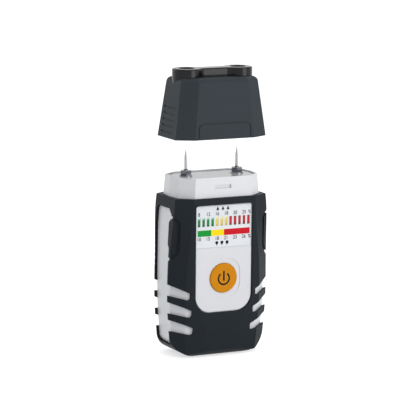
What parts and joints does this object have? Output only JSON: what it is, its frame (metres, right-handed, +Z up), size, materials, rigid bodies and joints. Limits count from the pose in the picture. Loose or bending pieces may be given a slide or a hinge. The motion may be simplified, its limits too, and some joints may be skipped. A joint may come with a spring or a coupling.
{
  "type": "wood moisture meter",
  "caption": "Hand-held wood moisture meter with needle electrodes on its head, a row of scale lights, a round button, a soft grip sleeve and a push-on cap with a test bridge.",
  "frame": {"origin": "middle of the flat foot that the meter stands on", "axes": "+Z up along the meter towards the pins, -Y out of the front with the button and lights, +X to the right when the front is looked at"},
  "size_m": [0.056, 0.032, 0.1471],
  "materials": {
    "sleeve_rubber": "fine grain, matt",
    "white_housing": "satin",
    "label_film": "satin print",
    "orange_button": "satin",
    "cap_plastic": "fine texture",
    "bridge_plastic": "satin",
    "plate_plastic": "glossy",
    "needle_steel": "polished",
    "nut_brass": "nickel plated",
    "contact_brass": "bright",
    "spring_steel": "bright",
    "screw_steel": "zinc plated",
    "board_green": "solder mask",
    "black_plastic": "moulded",
    "ceramic": "fired",
    "cell_wrap": "printed wrap",
    "green_lens": "tinted clear",
    "yellow_lens": "tinted clear",
    "red_lens": "tinted clear",
    "back_door": "satin"
  },
  "bodies": {
    "meter": {"grip_sleeve": "sleeve_rubber", "front_housing": "white_housing", "rear_housing": "white_housing", "scale_label": "label_film", "switch_body": "black_plastic", "circuit_board": "board_green", "board_screws": "screw_steel", "housing_screws": "screw_steel", "electrode_plate": "plate_plastic", "battery_contacts": "spring_steel", "battery_springs": "spring_steel", "left_pin": "needle_steel", "right_pin": "needle_steel", "left_pin_nut": "nut_brass", "right_pin_nut": "nut_brass", "left_pin_bush": "contact_brass", "right_pin_bush": "contact_brass", "left_battery": "cell_wrap", "right_battery": "cell_wrap", "control_chip": "black_plastic", "series_resistors": "black_plastic", "capacitors": "ceramic", "pin_leads": "contact_brass", "green_lights": "green_lens", "yellow_lights": "yellow_lens", "red_lights": "red_lens"},
    "cap": {"cap_shell": "cap_plastic", "cap_bridge": "bridge_plastic", "test_contacts": "contact_brass", "test_resistor": "ceramic"},
    "button": {"power_button": "orange_button", "switch_plunger": "black_plastic"},
    "door": {"battery_door": "back_door"}
  },
  "joints": [
    {"name": "cap_pull", "type": "slide", "parent": "meter", "child": "cap", "axis": [0, 0, 1], "range_m": [-0.0297, 0]},
    {"name": "button_press", "type": "slide", "parent": "meter", "child": "button", "axis": [0, 1, 0], "range_m": [0, 0.0006], "stiffness_N_per_m": 1000},
    {"name": "battery_door_lift", "type": "slide", "parent": "meter", "child": "door", "axis": [0, 1, 0], "range_m": [0, 0.025]}
  ]
}
